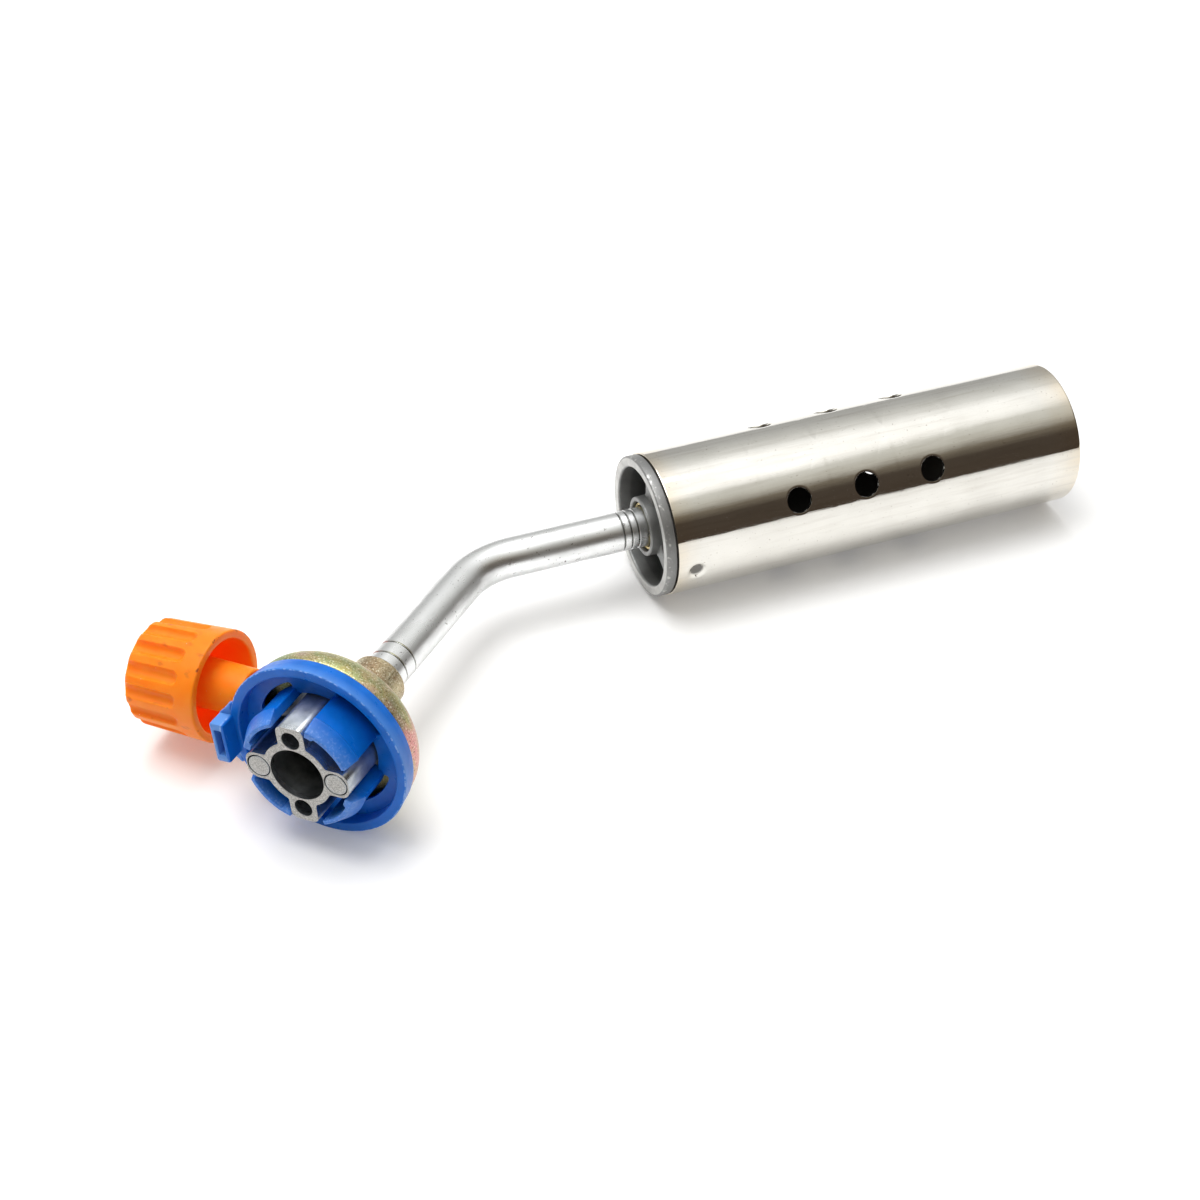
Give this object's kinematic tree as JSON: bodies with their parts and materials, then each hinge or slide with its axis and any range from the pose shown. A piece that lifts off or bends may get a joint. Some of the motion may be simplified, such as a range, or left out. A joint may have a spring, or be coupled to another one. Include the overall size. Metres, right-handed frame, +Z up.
{
  "type": "gas torch head",
  "caption": "Hand torch head that locks onto a gas cartridge: bayonet collar and plug, needle valve with fluted knob, bent gas tube and a vented steel burner.",
  "frame": {"origin": "centre of the underside of the bounding box, on the surface the torch lies on", "axes": "+X along the burner towards its mouth, +Z up, with the torch lying on its burner sleeve and collar rim"},
  "size_m": [0.2024, 0.0718, 0.0359],
  "materials": {
    "passivated_zinc": "yellow passivated, speckled",
    "bare_zinc": "die cast, matt",
    "cast_ring": "die cast, satin",
    "plated_tube": "bright plated",
    "stainless": "polished",
    "brass": "turned",
    "blue_plastic": "moulded, semi gloss",
    "orange_plastic": "moulded, semi gloss",
    "rubber": "matt"
  },
  "bodies": {
    "torch_head": {"valve_body": "passivated_zinc", "connector_plug": "bare_zinc", "stake_pin_knob_side": "bare_zinc", "stake_pin_burner_side": "bare_zinc", "lock_collar": "blue_plastic", "body_gasket": "rubber", "inlet_seal": "rubber", "inlet_probe": "brass", "inlet_filter": "brass", "valve_seat": "brass", "gland_nut": "brass", "gas_tube": "plated_tube", "tube_seal": "rubber", "jet_holder": "brass", "jet_nozzle": "brass", "jet_filter": "brass", "burner_ring": "cast_ring", "burner_sleeve": "stainless"},
    "spindle_travel": {"spindle_o_ring": "rubber"},
    "knob_and_spindle": {"knob": "orange_plastic", "knob_screw": "bare_zinc", "spindle": "brass"}
  },
  "joints": [
    {"name": "spindle_slide", "type": "slide", "parent": "torch_head", "child": "spindle_travel", "axis": [-0.7012, 0.7059, -0.1003], "range_m": [0, 0.0012]},
    {"name": "knob_turn", "type": "hinge", "parent": "spindle_travel", "child": "knob_and_spindle", "pos_m": [-0.07859, -0.00113, 0.01543], "axis": [-0.7012, 0.7059, -0.1003], "range_deg": [0, 540]}
  ],
  "couplings": [
    {"joint": "spindle_slide", "follows": "knob_turn", "m_per_rad": 0.00012732}
  ]
}
